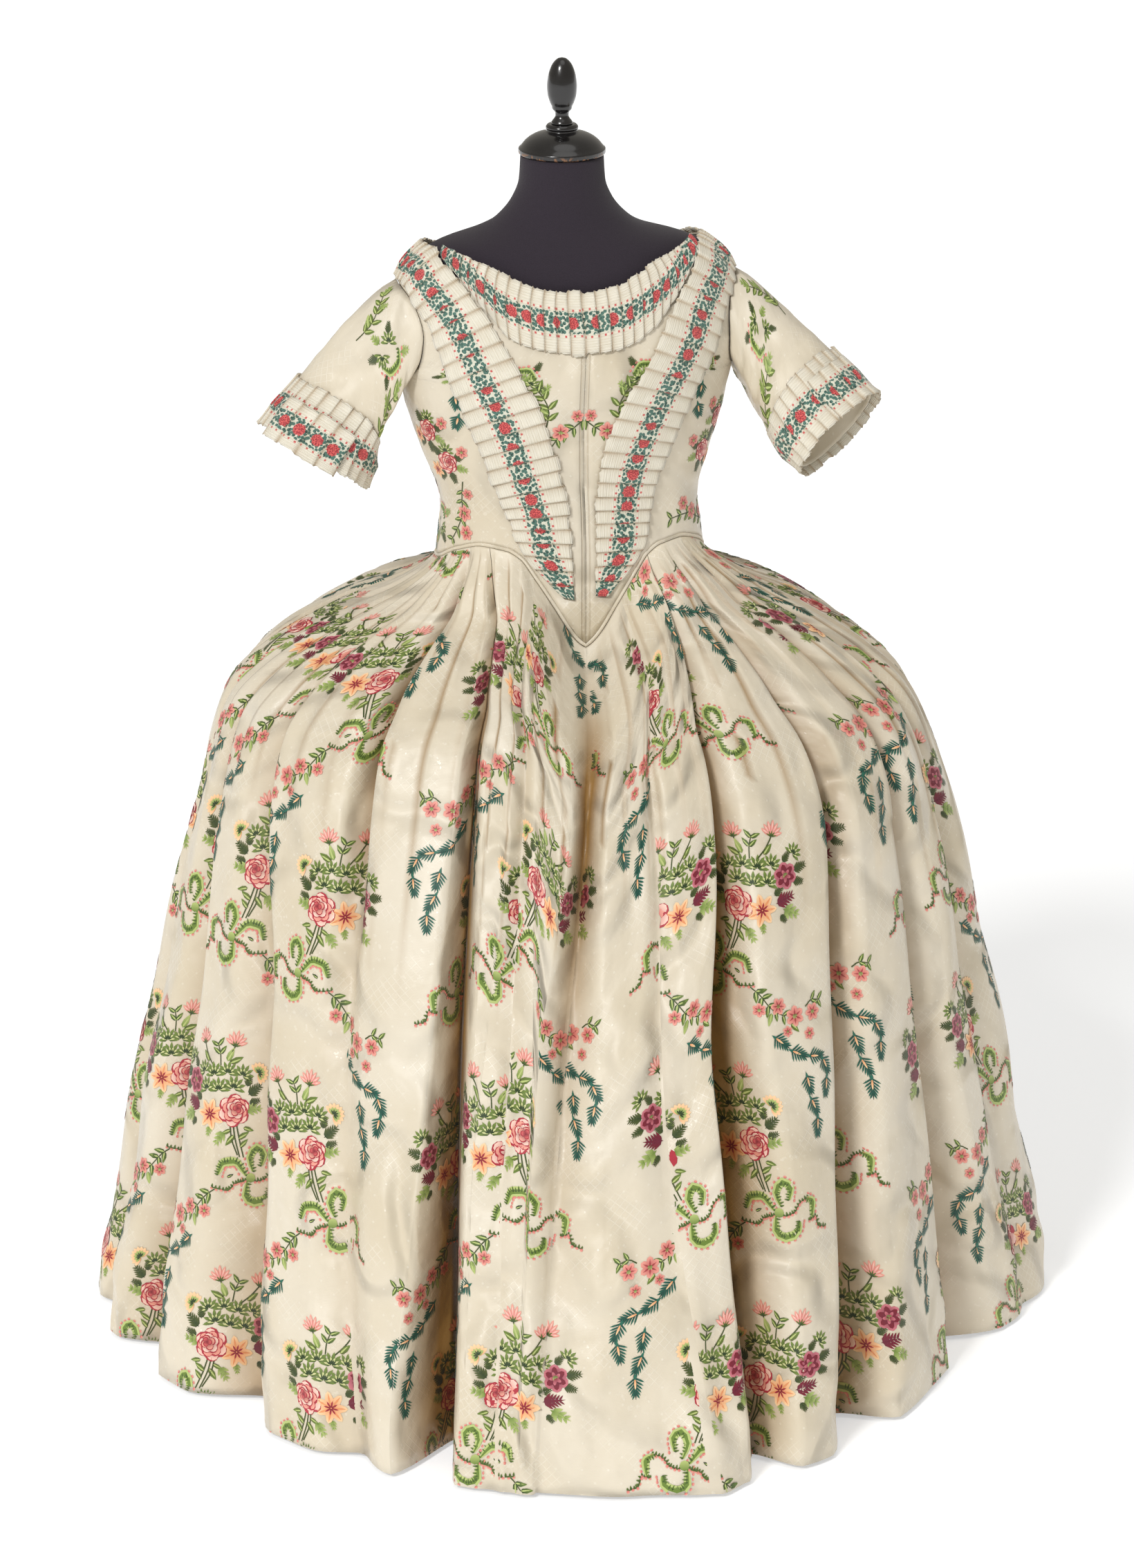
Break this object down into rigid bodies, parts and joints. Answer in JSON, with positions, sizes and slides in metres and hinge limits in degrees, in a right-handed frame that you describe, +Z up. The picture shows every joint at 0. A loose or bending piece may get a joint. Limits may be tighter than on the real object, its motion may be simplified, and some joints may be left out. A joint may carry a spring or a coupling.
{
  "type": "english gown on a limbless dress form",
  "caption": "Full-skirted gown of brocaded silk with pleated ribbon trim, worn by a limbless dress form on a turned stand.",
  "frame": {"origin": "middle of the skirt's outline at floor height, under the form's stand", "axes": "+Z up along the stand, -Y towards the gown's front, +X towards the wearer's left"},
  "size_m": [1.1983, 1.3085, 1.5813],
  "materials": {
    "brocaded_silk": "cream silk with a soft sheen, fine self-coloured figure and brocaded bunches of flowers",
    "woven_ribbon": "white ribbon with scalloped edges and a flowered middle band",
    "form_jersey": "matt dark jersey stretched over the form",
    "black_lacquer": "turned wood with worn black lacquer"
  },
  "bodies": {
    "root": {"form_torso": "form_jersey", "form_cap": "black_lacquer", "form_finial": "black_lacquer", "form_pole": "black_lacquer", "form_base": "black_lacquer", "bodice_front_left": "brocaded_silk", "bodice_front_right": "brocaded_silk", "bodice_back_left": "brocaded_silk", "bodice_back_right": "brocaded_silk", "waist_piping": "brocaded_silk", "sleeve_left": "brocaded_silk", "sleeve_right": "brocaded_silk", "neckline_ribbon": "woven_ribbon", "front_ribbon_left": "woven_ribbon", "front_ribbon_right": "woven_ribbon", "cuff_ribbon_left": "woven_ribbon", "cuff_ribbon_right": "woven_ribbon", "cuff_bow_left": "woven_ribbon", "cuff_bow_right": "woven_ribbon", "skirt_front": "brocaded_silk", "skirt_side_left": "brocaded_silk", "skirt_side_right": "brocaded_silk", "skirt_back_left": "brocaded_silk", "skirt_back_right": "brocaded_silk"}
  },
  "joints": []
}
